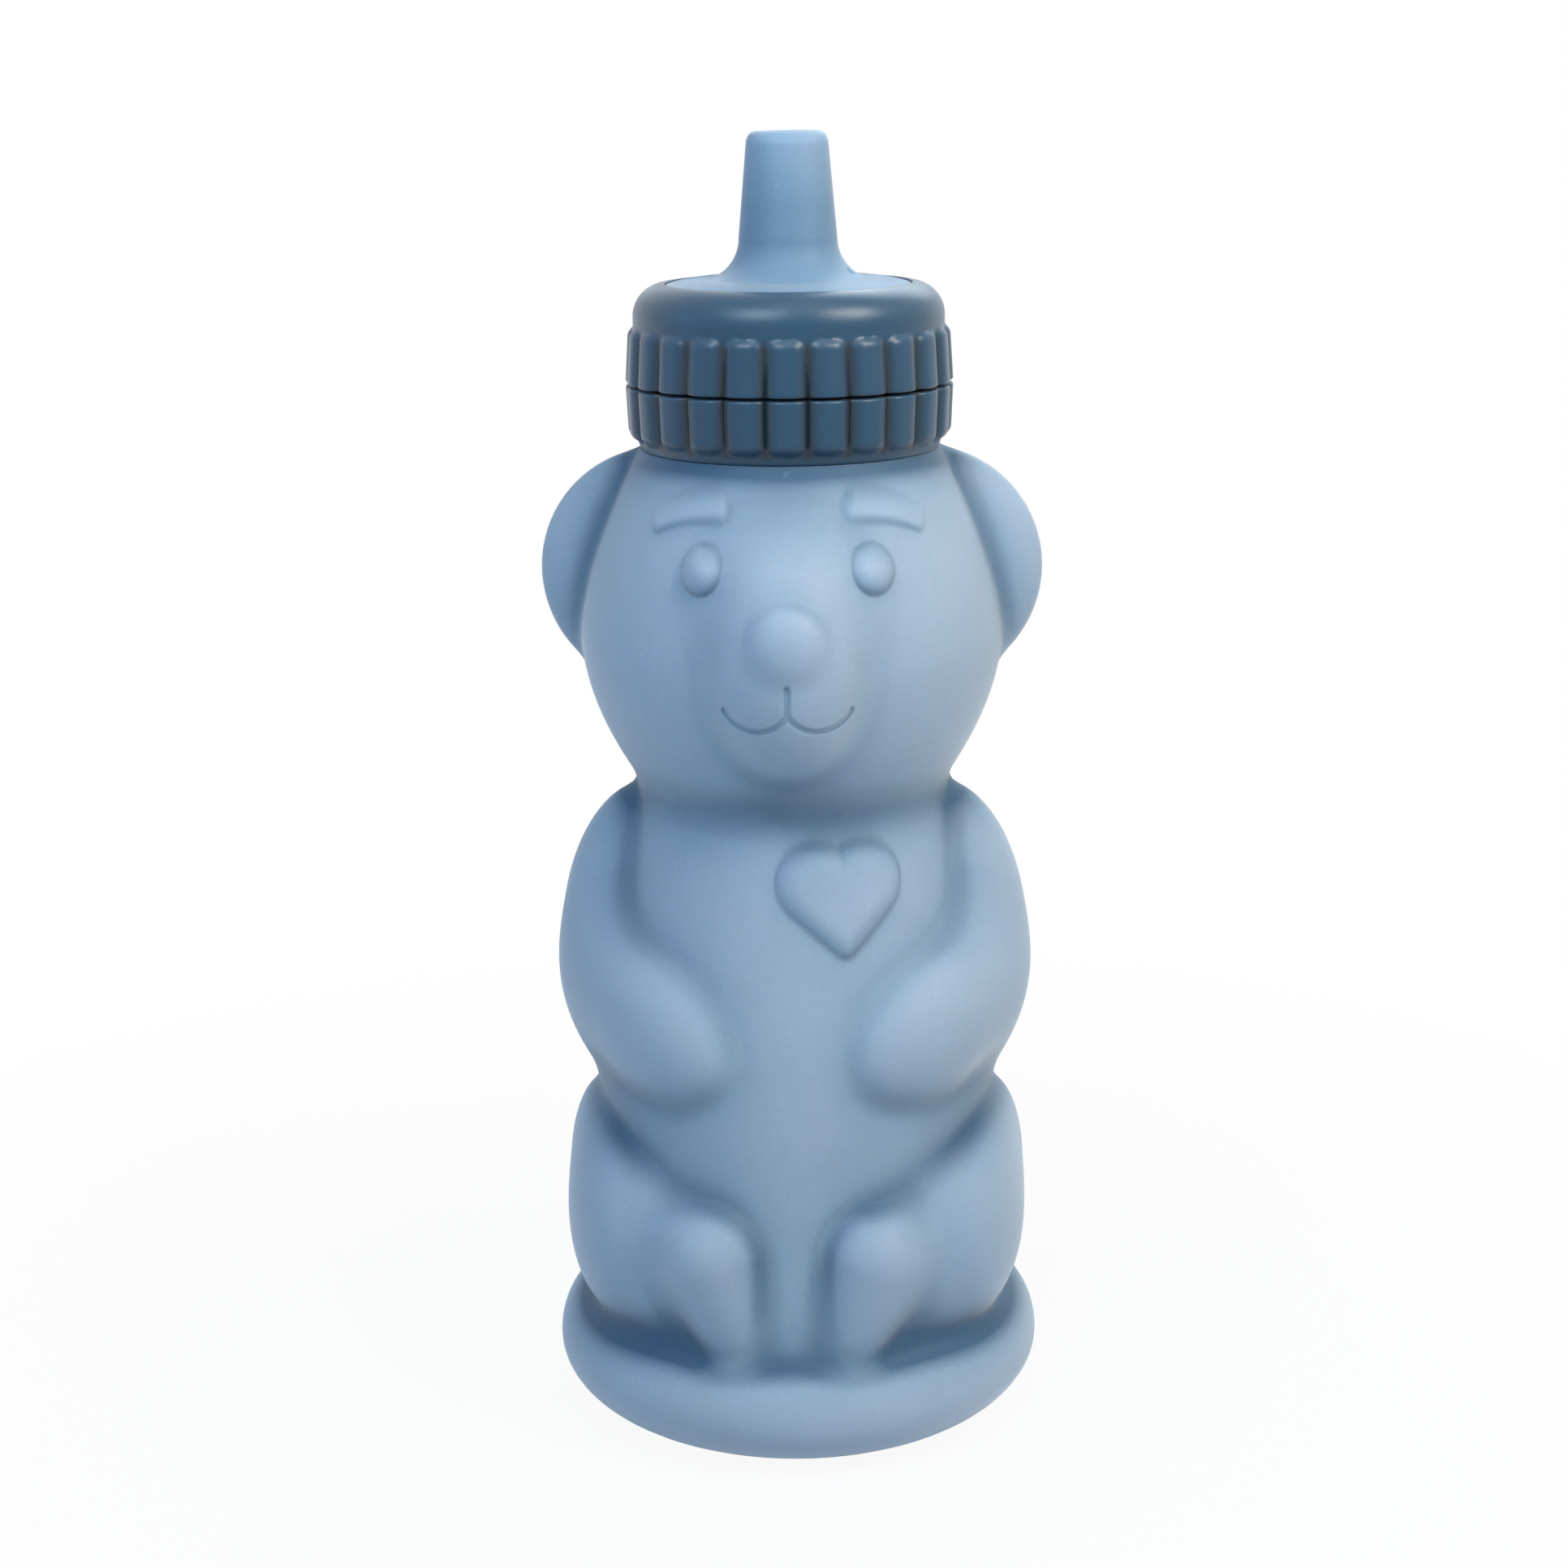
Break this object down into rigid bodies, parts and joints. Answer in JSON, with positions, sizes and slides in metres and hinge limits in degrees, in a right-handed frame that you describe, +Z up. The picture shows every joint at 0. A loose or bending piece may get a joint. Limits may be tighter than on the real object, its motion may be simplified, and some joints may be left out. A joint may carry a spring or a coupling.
{
  "type": "honey bear bottle",
  "caption": "Soft squeeze bottle shaped like a sitting bear on a round base, with a ribbed screw ring, a clamped threaded neck and a soft pouring spout.",
  "frame": {"origin": "middle of the flat face of the base that the bottle stands on", "axes": "+Z up along the axis of the neck and ring, the bear looks along -Y, +X is the viewer's right"},
  "size_m": [0.0644, 0.0644, 0.1662],
  "materials": {
    "bear_silicone": "matte moulded silicone",
    "spout_silicone": "matte moulded silicone",
    "valve_silicone": "matte moulded silicone",
    "closure_plastic": "fine satin moulded polypropylene",
    "neck_plastic": "fine satin moulded polypropylene"
  },
  "bodies": {
    "bottle": {"bear_body": "bear_silicone", "neck_collar": "closure_plastic", "neck_insert": "neck_plastic"},
    "pourer": {"spout": "spout_silicone", "drip_valve": "valve_silicone"},
    "ring": {"screw_ring": "closure_plastic"}
  },
  "joints": [
    {"name": "spout_lift", "type": "slide", "parent": "bottle", "child": "pourer", "axis": [0, 0, 1], "range_m": [0, 0.0144]},
    {"name": "ring_turn", "type": "hinge", "parent": "pourer", "child": "ring", "pos_m": [0, 0, 0.1416], "axis": [0, 0, 1], "range_deg": [0, 1442]}
  ],
  "couplings": [
    {"joint": "ring_turn", "follows": "spout_lift", "rad_per_m": 1745.3}
  ]
}
